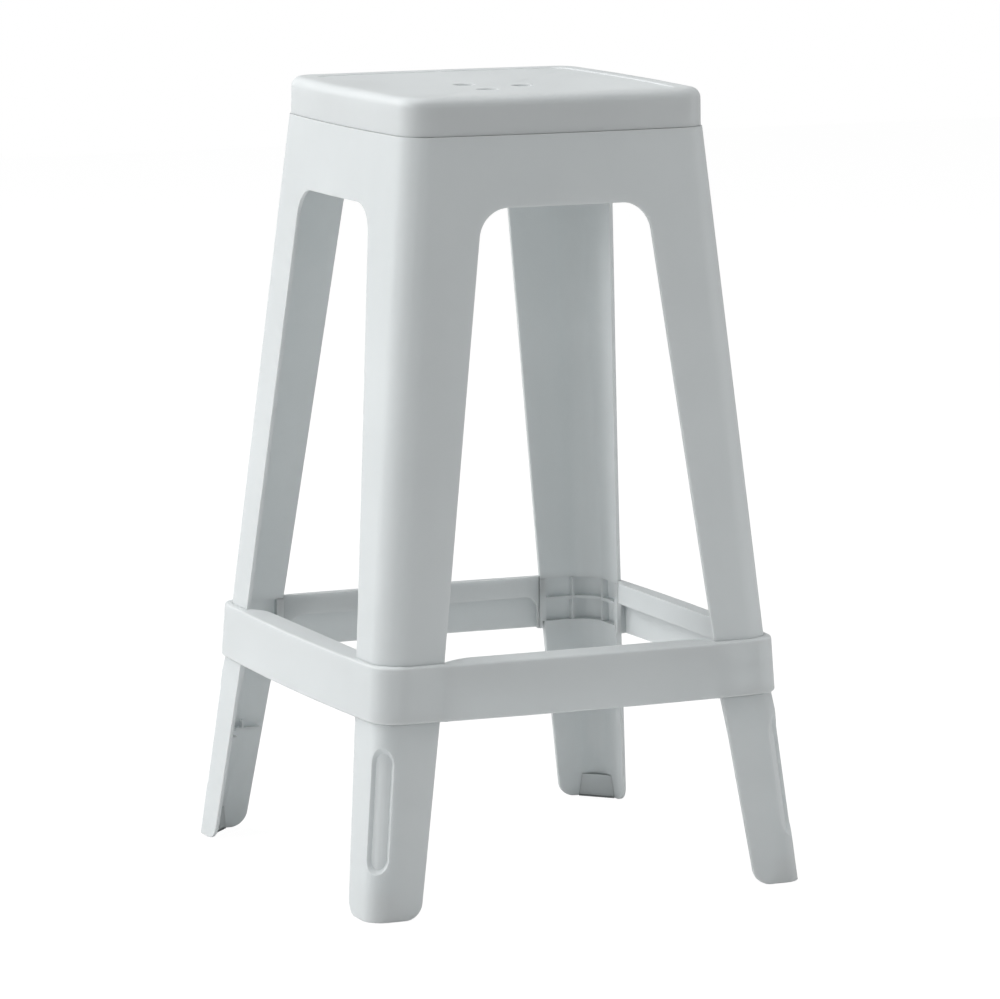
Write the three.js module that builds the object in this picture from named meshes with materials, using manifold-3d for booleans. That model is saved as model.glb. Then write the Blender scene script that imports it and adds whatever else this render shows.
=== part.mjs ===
// Stacking stool of moulded plastic: seat cap, upper frame, footrest ring, four lower legs with their feet.
// Millimetres, +Z up, origin on the floor under the middle of the seat.
// Each side of the stool is the same, so most shapes are made once and turned in quarter turns.
// A half width is measured at the corners; the sides of the seat, the frame and the ring bow out from there.

import * as THREE from 'three';
import { mergeVertices } from 'three/addons/utils/BufferGeometryUtils.js';
import Module from 'manifold-3d';

const wasm = await Module();
wasm.setup();

// Whole stool
const height = 650;             // floor to the crest of the seat rim
const ringTop = 202.2;          // floor to the outer top edge of the footrest ring
const wall = 3.2;               // wall of the frame, the ring, the legs and the cap
const cornerRadius = 25;        // vertical corners of the frame
const fitGap = 0.3;             // clearance between two pieces that touch
const overrun = 12;             // how far a cutting body runs past what it cuts
const arcSteps = 6;             // straight steps in a quarter of a circle
const bowSteps = 6;             // straight steps across a bowed side
const frameSteps = 4;           // steps in the height of the frame, whose bow fades out downwards

// Seat cap
const capHeight = 31;           // lower edge of the band to the crest of the rim
const capInset = 1.1;           // how far the band stands back from the frame below it
const capDraft = 0.25;          // how much narrower the band is at the start of the rim
const rimRadius = 8.8;          // rounding from the band up to the crest
const crestWidth = 10.4;        // nearly flat crest between the rim and the seat panel
const crestFall = 0.2;          // how much lower the crest is at its inner edge
const stepWidth = 0.8;          // step from the crest down to the panel
const stepDepth = 1;
const panelCornerRadius = 12.5;
const dishDepth = 3.2;          // edge of the seat panel down to its middle
const panelThickness = 3;
const drainRadius = 9.3;
const drainCircle = 28;         // the three drain holes lie on a circle of this radius
const drainShift = 2;           // how far the circle lies left of the middle
const drainCount = 3;
const tongueWall = 2.4;         // wall that drops from the panel into the frame
const tongueDepth = 8;          // how far it passes below the band
const hookReach = 1.5;
const hookLength = 14;
const hookPlace = 60;           // middle of a hook from the middle of its side
const seatRibHeight = 9;
const seatRibWidth = 2.2;
const seatRibPlace = 42;        // seat ribs on each side of the middle

// Upper frame
const frameHalfTop = 134.5;
const frameSpread = 39.3;       // how much wider it is, on each side, at the top edge of the ring
const frameBow = 4.3;           // bow of each side at the top; it fades out towards the ring
const seamGroove = 0.3;         // open groove between frame and cap
const rebateDepth = 1.8;        // how far the groove goes in
const flangeThickness = 3;
const flangeWidth = 11.1;       // from the outside of the frame's top to the flange's inner edge
const skirtDepth = 57.7;        // lower edge of the cap down to the top of the arches
const archHalfTop = 72.9;
const archRadius = 26;
const frameLegWidth = 53.8;     // face of a leg at the top edge of the ring
const legSink = 2.3;            // how far the frame's legs stand below the ring's top edge
const pegLength = 12;
const pegWidth = 2.6;
const pegDepth = 2;

// Footrest ring
const ringHeight = 45.8;
const ringStandOff = 4.3;       // how far the ring's top edge stands out from the frame's legs
const ringDraft = 2.2;          // how much wider it is at its lower edge
const ringBow = 4.5;
const ringCornerRadius = 23;
const ringEdgeRadius = 2.4;
const ledgeWidth = 15.1;        // top face of a bar, without the bow
const ledgeRise = 1.6;          // the top face rises towards the inside
const deckThickness = 2.8;
const lipWall = 2.6;
const lipHeight = 17.5;
const bendLength = 29.4;        // stretch over which a bar's inner face bends out to the leg
const bendRadius = 52;
const windowRadius = 17;        // corners of the cut-out below the lip
const windowMargin = 1.5;
const pocketInset = 3.3;        // outside of the frame's legs to the plane of the ribs in each corner
const stripWidth = 6;
const endWall = 2.6;
const ribWidth = 2.4;
const ribInset = 32;            // edge of a leg to the middle of the rib behind it
const shelfRibRise = 24.4;      // lower edge of the ring to the rib that runs round the corner

// Lower legs
const legInset = 3;             // how far the top of a lower leg stands back under the ring
const legSpread = 16.5;         // how much wider the four legs stand at the floor
const legWidthTop = 51.9;       // face of a leg under the ring
const legWidthFoot = 44.4;
const legLift = 0.5;            // the wall ends this far above the floor
const legFootRadius = 15.5;     // rounded lower corner of each free edge
const legCornerRadius = 16.5;
const blendHeight = 14;         // height over which the corner widens towards the ring's radius
const boreRadius = 24;          // inner corner; the wall there is thicker because of the recess outside
const plugHeight = 6.2;         // how far the leg's collar stands up into the ring
const rootHeight = 40;          // the wall thickens over this height at the top
const grooveBottom = 38;        // the long recess down the outer corner
const grooveTop = 138;
const grooveDepth = 4;          // outside of the corner to the floor of the recess
const grooveEndRadius = 5.7;    // narrow end of the body that cuts the recess
const grooveSink = 7;           // how deep that end lies in the corner
const grooveFlare = 7;          // how far its sides slope out over that depth
const catchHeight = 89;         // floor to the middle of the stacking catch
const catchThickness = 2.2;
const catchLength = 22;
const catchInset = 5;           // from the free edge of the leg
const catchReach = 6.3;
const gussetHeight = 8.5;
const gussetWidth = 2;
const gussetInset = 5.4;        // from the inner end of the catch

// Feet
const insertHeight = 18.5;
const insertDepth = 21.6;       // sharp corner of the foot to the diagonal face of the foot insert
const padThickness = 1.2;
const stemRadius = 2.8;
const stemLength = 11;
const stemDepth = 16.2;         // sharp corner of the foot to the stem of the pad

// Heights that follow
const seamTop = height - capHeight;
const frameTop = seamTop - seamGroove;
const flangeTop = seamTop - fitGap;
const archTop = seamTop - skirtDepth;
const ringBottom = ringTop - ringHeight;
const frameFoot = ringTop - legSink;
const legSeat = frameFoot - fitGap;
const legShoulder = ringBottom - fitGap;
const legTop = ringBottom + plugHeight;
const insertLow = padThickness + fitGap;

// Widths that follow, each from the one above it
const capHalf = frameHalfTop - capInset;
const frameHalfFoot = frameHalfTop + frameSpread;
const archHalfFoot = frameHalfFoot - frameLegWidth;
const ringHalfTop = frameHalfFoot + ringStandOff;
const ringHalfFoot = ringHalfTop + ringDraft;
const lipHalf = ringHalfTop - ledgeWidth;
const pocketHalf = frameHalfFoot - pocketInset;
const pocketRadius = cornerRadius - pocketInset;
const legHalfTop = ringHalfFoot - legInset;
const legHalfFoot = legHalfTop + legSpread;
const gapHalfTop = legHalfTop - legWidthTop;
const gapHalfFoot = legHalfFoot - legWidthFoot;

// The stool is square and tapers, so every outline is a half width that changes with height
const onLine = (z, lowZ, low, highZ, high) => low + (high - low) * (z - lowZ) / (highZ - lowZ);
const frameHalf = (z) => onLine(z, ringTop, frameHalfFoot, frameTop, frameHalfTop);
const frameBowAt = (z) => onLine(z, frameFoot, 0, frameTop, frameBow);
const archHalf = (z) => onLine(z, ringTop, archHalfFoot, archTop, archHalfTop);
const ringHalf = (z) => onLine(z, ringBottom, ringHalfFoot, ringTop, ringHalfTop);
const legHalf = (z) => onLine(z, 0, legHalfFoot, ringBottom, legHalfTop);
const gapHalf = (z) => onLine(z, 0, gapHalfFoot, ringBottom, gapHalfTop);
const ledgeHeight = (half) => onLine(half, ringHalfTop, ringTop, lipHalf, ringTop + ledgeRise);

const quarter = Math.PI / 2;
const quarterTurns = [0, 1, 2, 3].map((index) => index * quarter);
const middle = new THREE.Vector2();

// Outlines

// A square with round corners, whose sides bow out by the bow in their middle
function squareLoop(half, radius, bow) {
  const flat = half - radius;
  const lean = Math.atan(2 * bow / flat);
  const corner = new THREE.EllipseCurve(flat, flat, radius, radius, lean, quarter - lean).getPoints(arcSteps);
  const { x: edge, y: reach } = corner[0];
  const points = [];
  for (let step = 1; step < bowSteps; step += 1) {
    const share = 2 * step / bowSteps - 1;
    points.push(new THREE.Vector2(edge + bow * (1 - share ** 2), reach * share));
  }
  points.push(...corner);
  return quarterTurns.flatMap((turn) => points.map((point) => point.clone().rotateAround(middle, turn)));
}

// A closed outline through corner points, each [x, y, radius]
function roundedOutline(corners) {
  const shape = new THREE.Shape();
  const count = corners.length;
  corners.forEach(([x, y, radius], index) => {
    const here = new THREE.Vector2(x, y);
    const [beforeX, beforeY] = corners[(index + count - 1) % count];
    const [afterX, afterY] = corners[(index + 1) % count];
    const back = new THREE.Vector2(beforeX, beforeY).sub(here).normalize();
    const ahead = new THREE.Vector2(afterX, afterY).sub(here).normalize();
    const halfAngle = Math.acos(THREE.MathUtils.clamp(back.dot(ahead), -1, 1)) / 2;
    const start = here.clone().addScaledVector(back, radius / Math.tan(halfAngle));
    const end = here.clone().addScaledVector(ahead, radius / Math.tan(halfAngle));
    if (index === 0) {
      shape.moveTo(start.x, start.y);
    } else {
      shape.lineTo(start.x, start.y);
    }
    if (radius > 0) {
      const bisector = back.clone().add(ahead).normalize();
      const centre = here.clone().addScaledVector(bisector, radius / Math.sin(halfAngle));
      const from = start.clone().sub(centre).angle();
      const to = end.clone().sub(centre).angle();
      shape.absarc(centre.x, centre.y, radius, from, to, back.cross(ahead) > 0);
    }
  });
  shape.closePath();
  return shape;
}

// Bodies

// Closed body through a stack of square loops, each { z, half, radius, bow }
function loft(levels) {
  const loops = levels.map(({ z, half, radius, bow = 0 }) => (
    squareLoop(half, radius, bow).map((point) => new THREE.Vector3(point.x, point.y, z))
  ));
  const count = loops[0].length;
  const last = (loops.length - 1) * count;
  const faces = [];
  for (let base = 0; base < last; base += count) {
    for (let index = 0; index < count; index += 1) {
      const here = base + index;
      const next = base + (index + 1) % count;
      faces.push(here, next, next + count, here, next + count, here + count);
    }
  }
  for (let index = 1; index < count - 1; index += 1) {
    faces.push(0, index + 1, index);
    faces.push(last, last + index, last + index + 1);
  }
  const geometry = new THREE.BufferGeometry().setFromPoints(loops.flat());
  geometry.setIndex(faces);
  return geometry;
}

function prism(shape, depth) {
  return new THREE.ExtrudeGeometry(shape, { depth, bevelEnabled: false, curveSegments: arcSteps });
}

// An upright prism between two heights
function column(shape, low, high) {
  return prism(shape, high - low).translate(0, 0, low);
}

// An outline drawn in x and z, pushed through the whole stool along y
function throughCut(shape, reach) {
  return prism(shape, 2 * reach).rotateX(quarter).translate(0, reach, 0);
}

function box(low, high) {
  const size = high.map((value, index) => value - low[index]);
  const geometry = new THREE.BoxGeometry(...size);
  return geometry.translate(...low.map((value, index) => value + size[index] / 2));
}

function solid(geometry) {
  geometry.deleteAttribute('normal');
  geometry.deleteAttribute('uv');
  const merged = mergeVertices(geometry);
  const vertProperties = new Float32Array(merged.attributes.position.array);
  const triVerts = new Uint32Array(merged.index.array);
  return new wasm.Manifold(new wasm.Mesh({ numProp: 3, vertProperties, triVerts }));
}

const turned = (geometry, turn) => geometry.clone().rotateZ(turn);
const turnedSolids = (geometry, turns) => turns.map((turn) => solid(turned(geometry, turn)));
const joined = (bodies) => bodies.reduce((total, body) => total.add(body));
const cut = (body, cutters) => cutters.reduce((rest, cutter) => rest.subtract(cutter), body);

function toGeometry(body) {
  const { vertProperties, triVerts } = body.getMesh();
  const geometry = new THREE.BufferGeometry();
  geometry.setAttribute('position', new THREE.BufferAttribute(vertProperties, 3));
  geometry.setIndex(new THREE.BufferAttribute(triVerts, 1));
  const facets = geometry.toNonIndexed();
  facets.computeVertexNormals();
  return facets;
}

// Seat cap

const capCornerRadius = cornerRadius - capInset;
const capBandTop = height - rimRadius;
const capTopHalf = capHalf - capDraft;
const crestHalf = capTopHalf - rimRadius;
const stepHalf = crestHalf - crestWidth;
const panelHalf = stepHalf - stepWidth;
const panelShares = [1, 0.8, 0.6, 0.4, 0.2];
const tongueHalf = frameHalfTop - flangeWidth - fitGap;
const tongueRadius = cornerRadius - flangeWidth + rebateDepth;
const tongueFoot = seamTop - tongueDepth;

function dishHeight(half) {
  return height - crestFall - stepDepth - dishDepth * (1 - (half / panelHalf) ** 2);
}

// The crest, the step and the dished panel, or a surface that follows them a little lower
function panelLevels(drop) {
  const crest = [
    { z: height - drop, half: crestHalf, radius: capCornerRadius - rimRadius, bow: frameBow },
    { z: height - crestFall - drop, half: stepHalf, radius: panelCornerRadius, bow: frameBow },
  ];
  const panel = panelShares.map((share) => ({
    z: dishHeight(panelHalf * share) - drop,
    half: panelHalf * share,
    radius: panelCornerRadius * share,
    bow: frameBow * share,
  }));
  return [...crest, ...panel];
}

function capLevels(drop) {
  const rim = new THREE.EllipseCurve(crestHalf, capBandTop, rimRadius, rimRadius, 0, quarter);
  const rimLevels = rim.getPoints(arcSteps).slice(0, -1).map((point) => ({
    z: point.y - drop,
    half: point.x,
    radius: capCornerRadius + point.x - capTopHalf,
    bow: frameBow,
  }));
  return [
    { z: seamTop, half: capHalf, radius: capCornerRadius, bow: frameBow },
    ...rimLevels,
    ...panelLevels(drop),
  ];
}

function makeSeatCap() {
  const shell = solid(loft(capLevels(0)));
  const hollow = solid(loft([
    { z: seamTop - overrun, half: capHalf - wall, radius: capCornerRadius - wall, bow: frameBow },
    { z: capBandTop, half: capTopHalf - wall, radius: capCornerRadius - wall, bow: frameBow },
    ...panelLevels(panelThickness),
  ]));
  const core = solid(loft(capLevels(panelThickness / 2)));

  const tongueTop = height - panelThickness / 2;
  const tongueLevel = (z, inset) => ({ z, half: tongueHalf - inset, radius: tongueRadius - inset });
  const tongue = solid(loft([tongueLevel(tongueFoot, 0), tongueLevel(tongueTop, 0)]));
  const tongueHollow = solid(loft([
    tongueLevel(tongueFoot - overrun, tongueWall),
    tongueLevel(tongueTop + overrun, tongueWall),
  ]));

  const hookTop = flangeTop - flangeThickness - fitGap;
  const hooks = [-hookPlace, hookPlace].flatMap((place) => turnedSolids(box(
    [tongueHalf - tongueWall / 2, place - hookLength / 2, tongueFoot],
    [tongueHalf + hookReach, place + hookLength / 2, hookTop],
  ), quarterTurns));

  const ribReach = tongueHalf - tongueWall / 2;
  const ribFoot = dishHeight(0) - panelThickness - seatRibHeight;
  const ribs = joined([-seatRibPlace, seatRibPlace].flatMap((place) => turnedSolids(box(
    [-ribReach, place - seatRibWidth / 2, ribFoot],
    [ribReach, place + seatRibWidth / 2, height],
  ), quarterTurns.slice(0, 2)))).intersect(core);

  const drains = [...Array(drainCount).keys()].map((index) => solid(
    new THREE.CylinderGeometry(drainRadius, drainRadius, height, 4 * arcSteps)
      .rotateX(quarter)
      .translate(drainCircle, 0, height)
      .rotateZ(index * 4 * quarter / drainCount)
      .translate(-drainShift, 0, 0),
  ));

  const body = joined([cut(shell, [hollow]), cut(tongue, [tongueHollow]), ...hooks, ribs]);
  return cut(body, drains);
}

// Upper frame

// The arch drawn in x and height
function archOutline() {
  const low = frameFoot - pegLength - overrun;
  return roundedOutline([
    [-archHalf(low), low, 0],
    [archHalf(low), low, 0],
    [archHalfTop, archTop, archRadius],
    [-archHalfTop, archTop, archRadius],
  ]);
}

function frameBody(inset, low, high) {
  const levels = [];
  for (let step = 0; step <= frameSteps; step += 1) {
    const z = low + (high - low) * step / frameSteps;
    levels.push({ z, half: frameHalf(z) - inset, radius: cornerRadius - inset, bow: frameBowAt(z) });
  }
  return solid(loft(levels));
}

// Pegs under each leg, one near each free edge; grown by the clearance they cut their own sockets
function pegs(grow, low) {
  const outside = frameHalf(frameFoot) - fitGap + grow;
  const inside = outside - pegDepth - 2 * grow;
  const near = archHalf(frameFoot) + endWall / 2 - grow;
  const far = near + pegWidth + 2 * grow;
  const high = frameFoot + wall;
  return [
    box([inside, near, low], [outside, far, high]),
    box([inside, -far, low], [outside, -near, high]),
  ].flatMap((peg) => turnedSolids(peg, quarterTurns));
}

function makeUpperFrame() {
  const shell = cut(frameBody(0, frameFoot, frameTop), [frameBody(wall, frameFoot - overrun, frameTop + overrun)]);

  const flangeLevel = (z) => (
    { z, half: frameHalfTop - rebateDepth, radius: cornerRadius - rebateDepth, bow: frameBow }
  );
  const flange = solid(loft([flangeLevel(flangeTop - flangeThickness), flangeLevel(flangeTop)]));
  const flangeHole = solid(loft([
    { z: flangeTop - flangeThickness - overrun, half: frameHalfTop - flangeWidth, radius: tongueRadius + fitGap },
    { z: flangeTop + overrun, half: frameHalfTop - flangeWidth, radius: tongueRadius + fitGap },
  ]));

  const arch = throughCut(archOutline(), frameHalfFoot + overrun);
  const arches = turnedSolids(arch, quarterTurns.slice(0, 2));
  return joined([cut(shell, arches), cut(flange, [flangeHole]), ...pegs(0, frameFoot - pegLength)]);
}

// Footrest ring

// Inner outline of the ring seen from above: bars bend out to the legs, corners clear the frame's legs
function ringHoleOutline(grow) {
  const cornerHalf = frameHalf(frameFoot) + fitGap + grow;
  const radius = cornerRadius + fitGap + grow;
  const bend = bendRadius - grow;
  const bendStart = archHalfFoot - bendLength;
  const legEdge = archHalf(ringTop + ledgeRise) - fitGap;
  const bendAngle = Math.asin((legEdge - bendStart) / bend);
  const side = new THREE.Path();
  side.absarc(cornerHalf - radius, radius - cornerHalf, radius, -quarter, 0, false);
  side.lineTo(cornerHalf, -legEdge);
  side.absarc(lipHalf + bendRadius, -bendStart, bend, Math.PI + bendAngle, Math.PI, true);
  side.absarc(lipHalf + bendRadius, bendStart, bend, Math.PI, Math.PI - bendAngle, true);
  side.lineTo(cornerHalf, legEdge);
  const points = side.getPoints(arcSteps / 2);
  return new THREE.Shape(quarterTurns.flatMap((turn) => (
    points.map((point) => point.clone().rotateAround(middle, turn))
  )));
}

function ringLevels() {
  const lowEdge = new THREE.EllipseCurve(
    ringHalfFoot - ringEdgeRadius, ringBottom + ringEdgeRadius, ringEdgeRadius, ringEdgeRadius, -quarter, 0,
  );
  const highEdge = new THREE.EllipseCurve(
    ringHalfTop - ringEdgeRadius, ringTop - ringEdgeRadius, ringEdgeRadius, ringEdgeRadius, 0, quarter,
  );
  const toLevel = (faceHalf) => (point) => ({
    z: point.y,
    half: point.x,
    radius: ringCornerRadius + point.x - faceHalf,
    bow: ringBow,
  });
  return [
    ...lowEdge.getPoints(arcSteps / 2).map(toLevel(ringHalfFoot)),
    ...highEdge.getPoints(arcSteps / 2).map(toLevel(ringHalfTop)),
  ];
}

function makeFootrestRing() {
  const deckHalf = lipHalf - overrun;
  const outer = solid(loft([
    ...ringLevels(),
    { z: ledgeHeight(deckHalf), half: deckHalf, radius: ringCornerRadius / 2 },
  ]));
  const channelLevel = (z, inset) => (
    { z, half: ringHalf(z) - inset, radius: ringCornerRadius - inset, bow: ringBow }
  );
  const channel = solid(loft([
    channelLevel(ringBottom - overrun, wall),
    channelLevel(ringTop - deckThickness, wall),
    { z: ledgeHeight(deckHalf) - deckThickness, half: deckHalf, radius: ringCornerRadius / 2 },
  ]));
  const holeHigh = ringTop + overrun;
  const holeLow = ringBottom - overrun;
  const hole = solid(column(ringHoleOutline(0), holeLow, holeHigh));

  // Lips below the inner edge of the bars, with a window cut under each
  const lipSpan = archHalfFoot + endWall / 2;
  const lipTop = ringTop + ledgeRise - deckThickness / 2;
  const lipRing = cut(solid(column(ringHoleOutline(lipWall), ringBottom, lipTop)), [hole]);
  const bars = box([-ringHalfFoot, -lipSpan, holeLow], [ringHalfFoot, lipSpan, holeHigh]);
  const windowHalf = archHalfFoot - windowMargin;
  const windowTop = ringTop + ledgeRise - lipHeight;
  const windowCut = throughCut(roundedOutline([
    [-windowHalf, holeLow, 0],
    [windowHalf, holeLow, 0],
    [windowHalf, windowTop, windowRadius],
    [-windowHalf, windowTop, windowRadius],
  ]), ringHalfFoot + overrun);
  const lips = cut(
    lipRing.intersect(joined(turnedSolids(bars, quarterTurns.slice(0, 2)))),
    turnedSolids(windowCut, quarterTurns.slice(0, 2)),
  );

  // Ribs in each corner pocket, flush with the inside of the legs above and below
  const reach = ringHalfFoot + overrun;
  const ribLow = legTop + fitGap;
  const ribPlace = archHalfFoot + ribInset;
  const shelfLow = ringBottom + shelfRibRise;
  const upright = (near, width, low) => [
    box([pocketHalf, near, low], [reach, near + width, holeHigh]),
    box([near, pocketHalf, low], [near + width, reach, holeHigh]),
  ];
  const uprights = [
    ...upright(archHalfFoot, stripWidth, ribLow),
    ...upright(archHalfFoot, endWall, ringBottom),
    ...upright(ribPlace - ribWidth / 2, ribWidth, ribLow),
  ].flatMap((rib) => turnedSolids(rib, quarterTurns));
  const cornerShelf = box([archHalfFoot, archHalfFoot, shelfLow], [reach, reach, shelfLow + ribWidth]);
  const cornerRib = cut(joined(turnedSolids(cornerShelf, quarterTurns)), [solid(loft([
    { z: ringBottom, half: pocketHalf, radius: pocketRadius },
    { z: ringTop, half: pocketHalf, radius: pocketRadius },
  ]))]);
  const ribTop = ringTop - deckThickness / 2;
  const ribLimit = solid(loft([channelLevel(ringBottom, wall / 2), channelLevel(ribTop, wall / 2)]));
  const seatCut = solid(loft([
    { z: legSeat, half: frameHalf(frameFoot) + fitGap, radius: cornerRadius + fitGap },
    { z: holeHigh, half: frameHalf(frameFoot) + fitGap, radius: cornerRadius + fitGap },
  ]));
  const ribs = cut(joined([...uprights, cornerRib]).intersect(ribLimit), [seatCut]);

  const body = joined([cut(outer, [channel, hole]), lips, ribs]);
  return cut(body, pegs(fitGap, frameFoot - pegLength - fitGap));
}

// Lower legs

function legLevel(z, inset, radius) {
  return { z, half: legHalf(z) - inset, radius: radius - inset };
}

// The wall of a leg ends in a shoulder under the ring
function legLevels(inset) {
  return [
    legLevel(legLift - overrun, inset, legCornerRadius),
    legLevel(legShoulder - blendHeight, inset, legCornerRadius),
    legLevel(legShoulder, inset, ringCornerRadius - legInset),
  ];
}

// The gap between two legs, with their rounded lower corners, and everything below the end of the walls
function gapOutline() {
  const high = legTop + overrun;
  const low = legLift - overrun;
  const wide = legHalfFoot + overrun;
  return roundedOutline([
    [-wide, low, 0],
    [wide, low, 0],
    [wide, legLift, 0],
    [gapHalf(legLift), legLift, legFootRadius],
    [gapHalf(high), high, 0],
    [-gapHalf(high), high, 0],
    [-gapHalf(legLift), legLift, legFootRadius],
    [-wide, legLift, 0],
  ]);
}

// The recess: a long slot with round ends and sloping sides, which leans with the front left corner
function slotBody() {
  const lean = Math.atan(Math.SQRT2 * legSpread / ringBottom);
  const corner = Math.SQRT2 * legHalfFoot - (Math.SQRT2 - 1) * legCornerRadius;
  const reach = grooveEndRadius + grooveFlare;
  const alongCorner = (z) => z / Math.cos(lean);
  const shape = new THREE.Shape();
  shape.absarc(0, alongCorner(grooveTop) - reach, grooveEndRadius, 0, Math.PI, false);
  shape.absarc(0, alongCorner(grooveBottom) + reach, grooveEndRadius, Math.PI, 2 * Math.PI, false);
  shape.closePath();
  const slot = new THREE.ExtrudeGeometry(shape, {
    depth: overrun,
    bevelThickness: grooveSink,
    bevelSize: grooveFlare,
    bevelSegments: 1,
    curveSegments: 2 * arcSteps,
  });
  return solid(slot.rotateX(quarter - lean).translate(0, -corner, 0).rotateZ(-quarter / 2));
}

// Stacking catches on the inside of both walls of the front left leg
function catches() {
  const bottom = catchHeight - catchThickness / 2;
  const start = -(gapHalf(catchHeight) + catchInset);
  const end = start - catchLength;
  const gusset = end + gussetInset;
  const face = -(legHalf(catchHeight) - wall);
  return [
    [end, start, bottom, bottom + catchThickness],
    [gusset, gusset + gussetWidth, bottom, bottom + gussetHeight],
  ].flatMap(([from, to, low, high]) => [
    box([from, face - wall / 2, low], [to, face + catchReach, high]),
    box([face - wall / 2, from, low], [face + catchReach, to, high]),
  ]).map(solid);
}

function makeLowerLeg() {
  const outer = solid(loft(legLevels(0)));

  // The bore is sharp in the corner where the foot insert stands, and rounder above it
  const insertTop = insertLow + insertHeight + fitGap;
  const rootLow = legTop - rootHeight;
  const bore = solid(loft([
    legLevel(legLift - 2 * overrun, wall, legCornerRadius),
    legLevel(insertTop, wall, legCornerRadius),
    { z: insertTop + fitGap, half: legHalf(insertTop) - wall, radius: boreRadius },
    { z: rootLow, half: legHalf(rootLow) - wall, radius: boreRadius },
    { z: legTop, half: pocketHalf, radius: pocketRadius },
    { z: legTop + overrun, half: pocketHalf, radius: pocketRadius },
  ]));

  // The collar plugs into the ring
  const collarHalf = ringHalf(legTop) - wall - fitGap;
  const collarLevel = (z) => ({ z, half: collarHalf, radius: ringCornerRadius - wall });
  const collar = solid(loft([collarLevel(legShoulder - fitGap), collarLevel(legTop)]));

  const gap = throughCut(gapOutline(), legHalfFoot + overrun);
  const gaps = turnedSolids(gap, quarterTurns.slice(0, 2));

  const reach = legHalfFoot + overrun;
  const cornerBox = solid(box([-reach, -reach, 0], [-archHalfFoot, -archHalfFoot, legTop]));
  const groove = cut(slotBody(), [solid(loft(legLevels(grooveDepth)))]);

  const walls = cut(joined([outer, collar]), [bore]);
  const body = joined([walls, ...catches()]);
  return cut(body.intersect(cornerBox), [...gaps, groove]);
}

// Feet

const padInset = wall + fitGap;

// What lies outside the diagonal plane across the front left foot
function footCorner(depth) {
  const reach = 2 * legHalfFoot;
  const face = Math.SQRT2 * legHalfFoot - depth;
  return solid(box([face, -reach, -height], [face + reach, reach, height]).rotateZ(-3 * quarter / 2));
}

function stem(radius, low, high) {
  const place = stemDepth / Math.SQRT2 - legHalfFoot;
  return solid(new THREE.CylinderGeometry(radius, radius, high - low, 2 * arcSteps)
    .rotateX(quarter).translate(place, place, (low + high) / 2));
}

function makeFootInsert() {
  const block = solid(loft([
    legLevel(insertLow, padInset, legCornerRadius),
    legLevel(insertLow + insertHeight, padInset, legCornerRadius),
  ])).intersect(footCorner(insertDepth));
  return cut(block, [stem(stemRadius + fitGap, 0, padThickness + stemLength + fitGap)]);
}

function makeFootPad() {
  const plate = solid(loft([
    legLevel(0, padInset, legCornerRadius),
    legLevel(padThickness, padInset, legCornerRadius),
  ])).intersect(footCorner(insertDepth));
  return plate.add(stem(stemRadius, padThickness / 2, padThickness + stemLength));
}

// Materials

const polypropylene = () => new THREE.MeshStandardMaterial({ color: 0xdbe0e1, roughness: 0.55 });
const rubber = () => new THREE.MeshStandardMaterial({ color: 0x8c9091, roughness: 0.85 });

function piece(name, geometry, material, turn = 0) {
  const mesh = new THREE.Mesh(geometry, material);
  mesh.name = name;
  mesh.rotation.z = turn;
  return mesh;
}

// The stool

const stool = new THREE.Group();
stool.add(piece('seat_cap', toGeometry(makeSeatCap()), polypropylene()));
stool.add(piece('upper_frame', toGeometry(makeUpperFrame()), polypropylene()));
stool.add(piece('footrest_ring', toGeometry(makeFootrestRing()), polypropylene()));

const legGeometry = toGeometry(makeLowerLeg());
const insertGeometry = toGeometry(makeFootInsert());
const padGeometry = toGeometry(makeFootPad());
['front_left', 'front_right', 'back_right', 'back_left'].forEach((corner, index) => {
  const turn = quarterTurns[index];
  stool.add(piece(`lower_leg_${corner}`, legGeometry, polypropylene(), turn));
  stool.add(piece(`foot_insert_${corner}`, insertGeometry, polypropylene(), turn));
  stool.add(piece(`foot_pad_${corner}`, padGeometry, rubber(), turn));
});

export default stool;
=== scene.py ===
import math

import bmesh
import bpy
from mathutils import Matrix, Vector


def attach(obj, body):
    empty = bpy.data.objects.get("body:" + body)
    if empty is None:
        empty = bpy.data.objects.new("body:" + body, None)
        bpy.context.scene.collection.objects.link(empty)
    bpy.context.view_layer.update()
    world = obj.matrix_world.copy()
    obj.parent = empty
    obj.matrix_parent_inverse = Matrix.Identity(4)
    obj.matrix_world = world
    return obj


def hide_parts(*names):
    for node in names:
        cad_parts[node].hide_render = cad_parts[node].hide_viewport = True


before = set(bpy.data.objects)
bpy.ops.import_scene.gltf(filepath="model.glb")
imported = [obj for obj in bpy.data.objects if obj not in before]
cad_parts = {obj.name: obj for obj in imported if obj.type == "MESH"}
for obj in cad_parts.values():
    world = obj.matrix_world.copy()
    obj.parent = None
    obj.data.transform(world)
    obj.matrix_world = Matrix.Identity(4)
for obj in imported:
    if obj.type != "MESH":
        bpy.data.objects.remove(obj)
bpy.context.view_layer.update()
print("frame loaded:", len(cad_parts), "nodes")

mm = 0.001
scene = bpy.context.scene


# Materials

# Colours are written as screen values and turned into light values
def screenColour(red, green, blue):
    def toLight(value):
        share = value / 255
        return share / 12.92 if share <= 0.04045 else ((share + 0.055) / 1.055) ** 2.4
    return (toLight(red), toLight(green), toLight(blue), 1)


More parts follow.
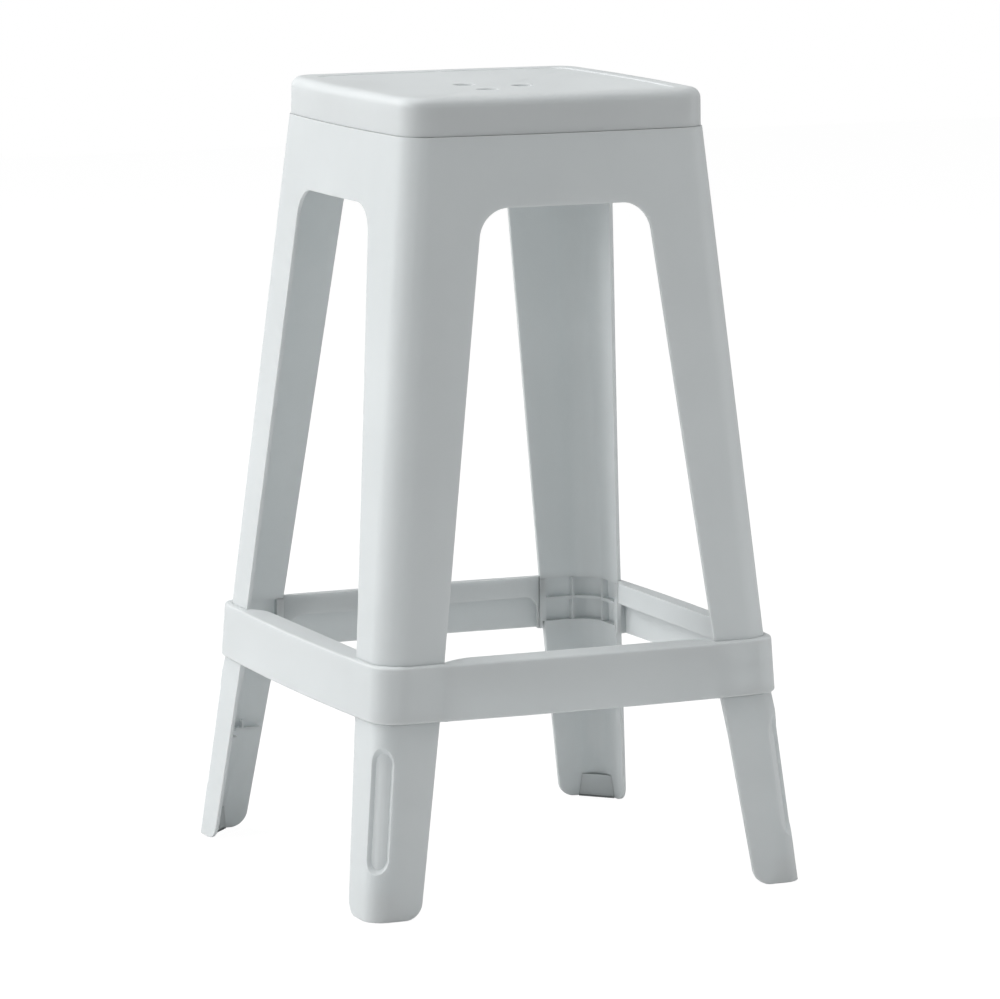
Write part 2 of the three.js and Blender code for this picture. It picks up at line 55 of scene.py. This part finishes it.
mouldedPlastic = {
    "colour": (221, 226, 227),
    "cloudShade": 0.965,       # darkest colour of the slow mottling, as a share
    "cloudScale": 9,
    "cloudDetail": 3,
    "roughness": 0.52,
    "roughnessSpread": 0.05,
    "grainScale": 900,         # fine spark-eroded grain
    "grainDetail": 2,
    "grainHeight": 0.02 * mm,
    "rippleScale": 28,         # very slow waviness of a large moulding
    "rippleDetail": 1,
    "rippleHeight": 0.06 * mm,
    "ior": 1.49,
    "glow": 0.6,               # share of the light that goes into the plastic and comes out again
    "glowDepth": 7 * mm,       # how far it travels inside
}

footInsertPlastic = dict(mouldedPlastic, colour=(212, 218, 219))

padRubber = {
    "colour": (140, 144, 145),
    "roughness": 0.8,
    "speckScale": 1400,
    "speckDetail": 3,
    "speckShade": 1.3,         # how much lighter the specks are
    "speckHeight": 0.05 * mm,
}

# A noise value rarely leaves these two, so they are stretched to the ends of a range
noiseReach = {"low": 0.3, "high": 0.7}


def newMaterial(name):
    material = bpy.data.materials.new(name)
    material.use_nodes = True
    nodes = material.node_tree.nodes
    nodes.clear()
    output = nodes.new("ShaderNodeOutputMaterial")
    shader = nodes.new("ShaderNodeBsdfPrincipled")
    material.node_tree.links.new(shader.outputs["BSDF"], output.inputs["Surface"])
    return material, shader


def noiseNode(tree, coordinates, scale, detail):
    noise = tree.nodes.new("ShaderNodeTexNoise")
    noise.inputs["Scale"].default_value = scale
    noise.inputs["Detail"].default_value = detail
    tree.links.new(coordinates, noise.inputs["Vector"])
    return noise.outputs["Fac"]


def bumpNode(tree, height, distance, below=None):
    bump = tree.nodes.new("ShaderNodeBump")
    bump.inputs["Distance"].default_value = distance
    tree.links.new(height, bump.inputs["Height"])
    if below is not None:
        tree.links.new(below, bump.inputs["Normal"])
    return bump.outputs["Normal"]


def rampNode(tree, value, low, high):
    spread = tree.nodes.new("ShaderNodeMapRange")
    spread.inputs["From Min"].default_value = noiseReach["low"]
    spread.inputs["From Max"].default_value = noiseReach["high"]
    spread.inputs["To Min"].default_value = low
    spread.inputs["To Max"].default_value = high
    tree.links.new(value, spread.inputs["Value"])
    return spread.outputs["Result"]


def makePlastic(name, look):
    material, shader = newMaterial(name)
    tree = material.node_tree
    place = tree.nodes.new("ShaderNodeTexCoord").outputs["Object"]

    clouds = noiseNode(tree, place, look["cloudScale"], look["cloudDetail"])
    colour = tree.nodes.new("ShaderNodeMix")
    colour.data_type = "RGBA"
    bright = screenColour(*look["colour"])
    colour.inputs["A"].default_value = tuple(look["cloudShade"] * part for part in bright[:3]) + (1,)
    colour.inputs["B"].default_value = bright
    tree.links.new(rampNode(tree, clouds, 0, 1), colour.inputs["Factor"])
    tree.links.new(colour.outputs["Result"], shader.inputs["Base Color"])

    grain = noiseNode(tree, place, look["grainScale"], look["grainDetail"])
    low = look["roughness"] - look["roughnessSpread"]
    high = look["roughness"] + look["roughnessSpread"]
    tree.links.new(rampNode(tree, clouds, low, high), shader.inputs["Roughness"])
    waves = noiseNode(tree, place, look["rippleScale"], look["rippleDetail"])
    ripple = bumpNode(tree, waves, look["rippleHeight"])
    tree.links.new(bumpNode(tree, grain, look["grainHeight"], ripple), shader.inputs["Normal"])
    shader.inputs["IOR"].default_value = look["ior"]
    shader.inputs["Subsurface Weight"].default_value = look["glow"]
    shader.inputs["Subsurface Radius"].default_value = (1, 1, 1)
    shader.inputs["Subsurface Scale"].default_value = look["glowDepth"]
    return material


def makeRubber(name, look):
    material, shader = newMaterial(name)
    tree = material.node_tree
    place = tree.nodes.new("ShaderNodeTexCoord").outputs["Object"]
    specks = noiseNode(tree, place, look["speckScale"], look["speckDetail"])
    colour = tree.nodes.new("ShaderNodeMix")
    colour.data_type = "RGBA"
    base = screenColour(*look["colour"])
    colour.inputs["A"].default_value = base
    colour.inputs["B"].default_value = tuple(look["speckShade"] * part for part in base[:3]) + (1,)
    tree.links.new(rampNode(tree, specks, 0, 1), colour.inputs["Factor"])
    tree.links.new(colour.outputs["Result"], shader.inputs["Base Color"])
    tree.links.new(bumpNode(tree, specks, look["speckHeight"]), shader.inputs["Normal"])
    shader.inputs["Roughness"].default_value = look["roughness"]
    return material


shellPlastic = makePlastic("greyMouldedPlastic", mouldedPlastic)
insertPlastic = makePlastic("footInsertPlastic", footInsertPlastic)
footRubber = makeRubber("footPadRubber", padRubber)
print("materials made")


# Mouldings: each is a copy of its CAD node, with its flats rejoined and its edges softened

edgeSoftening = {
    "weld": 0.03 * mm,         # points closer than this are one
    "flatAngle": math.radians(0.6),
    "radius": 0.55 * mm,
    "insertRadius": 0.25 * mm,
    "segments": 3,
    "sharperThan": math.radians(28),
}


def mouldingFromNode(node, name, material, radius):
    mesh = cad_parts[node].data.copy()
    mesh.name = name
    shape = bmesh.new()
    shape.from_mesh(mesh)
    bmesh.ops.remove_doubles(shape, verts=shape.verts, dist=edgeSoftening["weld"])
    bmesh.ops.dissolve_limit(
        shape, angle_limit=edgeSoftening["flatAngle"], verts=shape.verts, edges=shape.edges,
    )
    for face in shape.faces:
        face.smooth = True
    shape.to_mesh(mesh)
    shape.free()
    mesh.materials.clear()
    mesh.materials.append(material)
    piece = bpy.data.objects.new(name, mesh)
    scene.collection.objects.link(piece)
    bevel = piece.modifiers.new("softEdges", "BEVEL")
    bevel.width = radius
    bevel.segments = edgeSoftening["segments"]
    bevel.limit_method = "ANGLE"
    bevel.angle_limit = edgeSoftening["sharperThan"]
    bevel.harden_normals = False
    bevel.miter_outer = "MITER_ARC"
    weighted = piece.modifiers.new("flatFaces", "WEIGHTED_NORMAL")
    weighted.keep_sharp = False
    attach(piece, "root")
    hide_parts(node)


for node in sorted(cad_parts):
    words = node.split("_")
    name = words[0] + "".join(word.capitalize() for word in words[1:]) + "Moulding"
    if node.startswith("foot_pad"):
        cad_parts[node].data.materials.clear()
        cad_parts[node].data.materials.append(footRubber)
    elif node.startswith("foot_insert"):
        mouldingFromNode(node, name, insertPlastic, edgeSoftening["insertRadius"])
    else:
        mouldingFromNode(node, name, shellPlastic, edgeSoftening["radius"])
print("mouldings made")


# Studio

studio = {
    "cameraPlace": (-1.867, -4.203, 1.026),
    "cameraTurn": (81.056, 0, -24.018),    # degrees
    "lens": 201.77,
    "sensorWidth": 36,
    "clipEnd": 100,
    "skyStrength": 0.19,
    "lampAim": (0, 0, 0.35),
}

paleFloor = {
    "size": 12,
    "colour": (0.8, 0.8, 0.8, 1),
    "shadowColour": (0.12, 0.12, 0.12, 1),     # what the camera sees of its shadows
    "glow": 0.96,                              # what the camera sees besides, so that it is white
}

# Behind the left side, overhead, low to shine in through the left arch, and low and near on the right
lamps = {
    "keyLamp": {"place": (-2.83, 2.83, 2.6), "size": 2.2, "power": 108},
    "topLamp": {"place": (0, 0, 4.3), "size": 3, "power": 80},
    "leftLamp": {"place": (-4.0, -0.5, 1.5), "size": 1.5, "power": 42},
    "sideLamp": {"place": (1.2, -0.75, 0.6), "size": 0.6, "power": 3},
}


def makeFloor():
    shape = bmesh.new()
    bmesh.ops.create_grid(shape, x_segments=1, y_segments=1, size=paleFloor["size"] / 2)
    mesh = bpy.data.meshes.new("studioFloor")
    shape.to_mesh(mesh)
    shape.free()
    floor = bpy.data.objects.new("studioFloor", mesh)
    scene.collection.objects.link(floor)
    material = bpy.data.materials.new("paleFloor")
    material.use_nodes = True
    tree = material.node_tree
    tree.nodes.clear()
    output = tree.nodes.new("ShaderNodeOutputMaterial")
    plain = tree.nodes.new("ShaderNodeBsdfDiffuse")
    plain.inputs["Color"].default_value = paleFloor["colour"]
    shaded = tree.nodes.new("ShaderNodeBsdfDiffuse")
    shaded.inputs["Color"].default_value = paleFloor["shadowColour"]
    glow = tree.nodes.new("ShaderNodeEmission")
    glow.inputs["Strength"].default_value = paleFloor["glow"]
    seen = tree.nodes.new("ShaderNodeAddShader")
    rays = tree.nodes.new("ShaderNodeLightPath")
    choice = tree.nodes.new("ShaderNodeMixShader")
    tree.links.new(shaded.outputs["BSDF"], seen.inputs[0])
    tree.links.new(glow.outputs["Emission"], seen.inputs[1])
    tree.links.new(rays.outputs["Is Camera Ray"], choice.inputs["Fac"])
    tree.links.new(plain.outputs["BSDF"], choice.inputs[1])
    tree.links.new(seen.outputs["Shader"], choice.inputs[2])
    tree.links.new(choice.outputs["Shader"], output.inputs["Surface"])
    mesh.materials.append(material)


def makeSky():
    world = bpy.data.worlds.new("studioSky")
    scene.world = world
    world.use_nodes = True
    tree = world.node_tree
    tree.nodes.clear()
    output = tree.nodes.new("ShaderNodeOutputWorld")
    rays = tree.nodes.new("ShaderNodeLightPath")
    backdrop = tree.nodes.new("ShaderNodeMapRange")
    sky = tree.nodes.new("ShaderNodeBackground")
    sky.inputs["Color"].default_value = (1, 1, 1, 1)
    backdrop.inputs["To Min"].default_value = studio["skyStrength"]
    backdrop.inputs["To Max"].default_value = 1
    tree.links.new(rays.outputs["Is Camera Ray"], backdrop.inputs["Value"])
    tree.links.new(backdrop.outputs["Result"], sky.inputs["Strength"])
    tree.links.new(sky.outputs["Background"], output.inputs["Surface"])


def makeLamp(name, look):
    lamp = bpy.data.lights.new(name, "AREA")
    lamp.shape = "SQUARE"
    lamp.size = look["size"]
    lamp.energy = look["power"]
    holder = bpy.data.objects.new(name, lamp)
    holder.location = look["place"]
    aim = Vector(studio["lampAim"]) - Vector(look["place"])
    holder.rotation_euler = aim.to_track_quat("-Z", "Y").to_euler()
    scene.collection.objects.link(holder)


def makeCamera():
    lens = bpy.data.cameras.new("studioCamera")
    lens.lens = studio["lens"]
    lens.sensor_width = studio["sensorWidth"]
    lens.clip_end = studio["clipEnd"]
    camera = bpy.data.objects.new("studioCamera", lens)
    camera.location = studio["cameraPlace"]
    camera.rotation_euler = [math.radians(turn) for turn in studio["cameraTurn"]]
    scene.collection.objects.link(camera)
    scene.camera = camera


makeFloor()
makeSky()
for name, look in lamps.items():
    makeLamp(name, look)
makeCamera()
scene.view_settings.view_transform = "Standard"
print("studio made")
